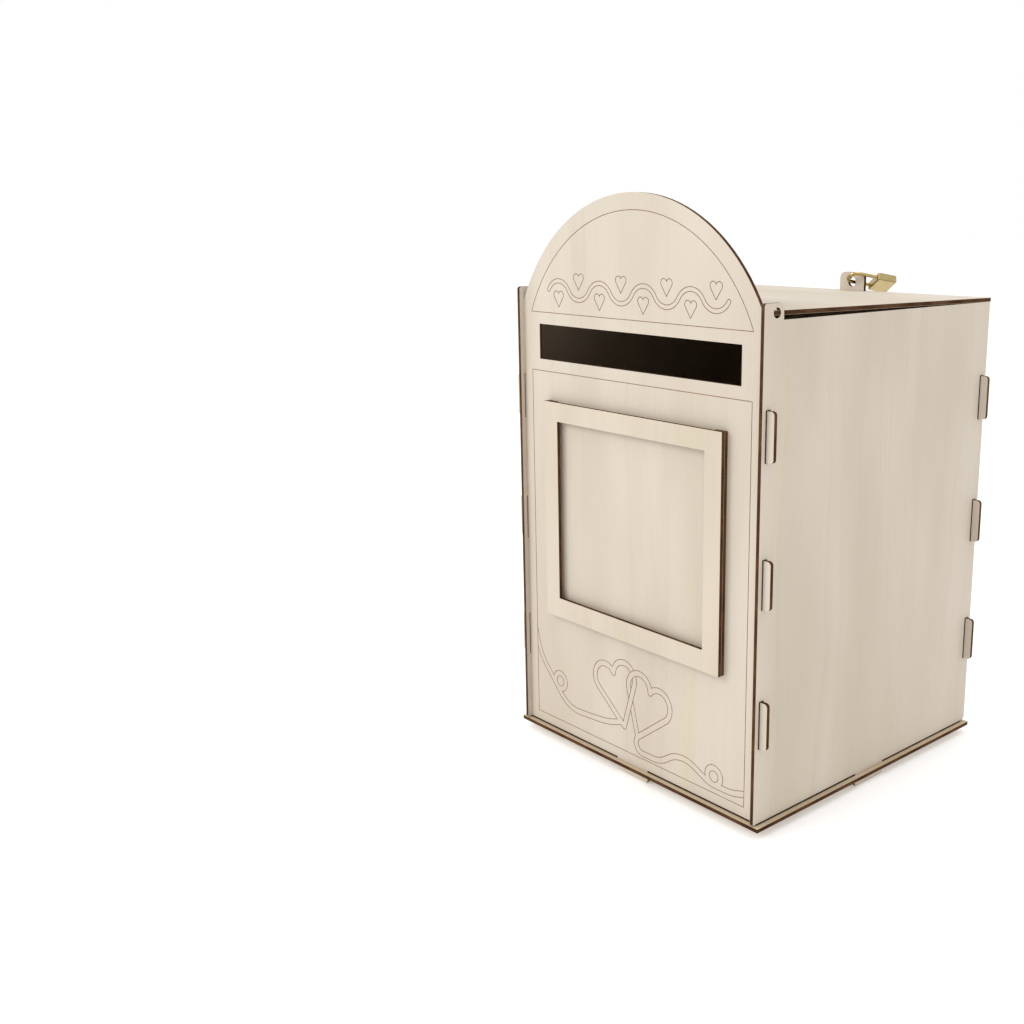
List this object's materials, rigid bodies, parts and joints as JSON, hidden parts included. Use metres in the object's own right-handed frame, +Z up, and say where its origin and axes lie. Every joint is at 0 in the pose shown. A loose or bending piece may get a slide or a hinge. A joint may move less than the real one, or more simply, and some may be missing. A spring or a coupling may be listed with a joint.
{
  "type": "wedding card box",
  "caption": "Plywood wedding card box with an arched front, letter slot, photo holder, pegged lid and a small padlock through a rear tongue.",
  "frame": {"origin": "middle of the box's footprint, padlock included, in the plane of the feet's lower ends", "axes": "+X to the right seen from the front, +Y from the arched front to the rear, +Z up"},
  "size_m": [0.269, 0.29, 0.4396],
  "materials": {
    "base_panel": "unvarnished laser-cut plywood with scorched edges",
    "front_panel": "unvarnished laser-cut plywood with scorched edges",
    "back_panel": "unvarnished laser-cut plywood with scorched edges",
    "side_panel_left": "unvarnished laser-cut plywood with scorched edges",
    "side_panel_right": "unvarnished laser-cut plywood with scorched edges",
    "photo_frame_spacer": "unvarnished laser-cut plywood with scorched edges",
    "photo_frame_face": "unvarnished laser-cut plywood with scorched edges",
    "lid": "unvarnished laser-cut plywood with scorched edges",
    "shackle_steel": "brass-plated wire, satin",
    "padlock_brass": "brushed",
    "plug_brass": "turned",
    "lock_steel": "plain"
  },
  "bodies": {
    "box": {"base_panel": "base_panel", "front_panel": "front_panel", "back_panel": "back_panel", "side_panel_left": "side_panel_left", "side_panel_right": "side_panel_right", "photo_frame_spacer": "photo_frame_spacer", "photo_frame_face": "photo_frame_face"},
    "lid": {"lid": "lid"},
    "shackle": {"padlock_shackle": "shackle_steel"},
    "lock_body": {"padlock_body": "padlock_brass", "padlock_retaining_pins": "lock_steel", "padlock_latch_spring": "lock_steel"},
    "lock_plug": {"padlock_plug": "plug_brass"},
    "lock_latch": {"padlock_latch": "lock_steel"}
  },
  "joints": [
    {"name": "lid_open", "type": "hinge", "parent": "box", "child": "lid", "pos_m": [0, -0.13098, 0.3632], "axis": [1, 0, 0], "range_deg": [0, 90]},
    {"name": "padlock_swing", "type": "hinge", "parent": "box", "child": "shackle", "pos_m": [0, 0.11632, 0.369], "axis": [-0.5056, -0.8414, 0.1908], "range_deg": [0, 70]},
    {"name": "shackle_release", "type": "slide", "parent": "shackle", "child": "lock_body", "axis": [0.5056, 0.8414, -0.1908], "range_m": [0, 0.006]},
    {"name": "key_turn", "type": "hinge", "parent": "lock_body", "child": "lock_plug", "pos_m": [0.01838, 0.13471, 0.36779], "axis": [-0.5056, -0.8414, 0.1908], "range_deg": [0, 90]},
    {"name": "latch_throw", "type": "slide", "parent": "lock_body", "child": "lock_latch", "axis": [-0.7915, 0.3643, -0.4908], "range_m": [0, 0.00141], "deforming": ["padlock_latch_spring"]}
  ],
  "couplings": [
    {"joint": "key_turn", "follows": "latch_throw", "rad_per_m": 1110.7}
  ]
}
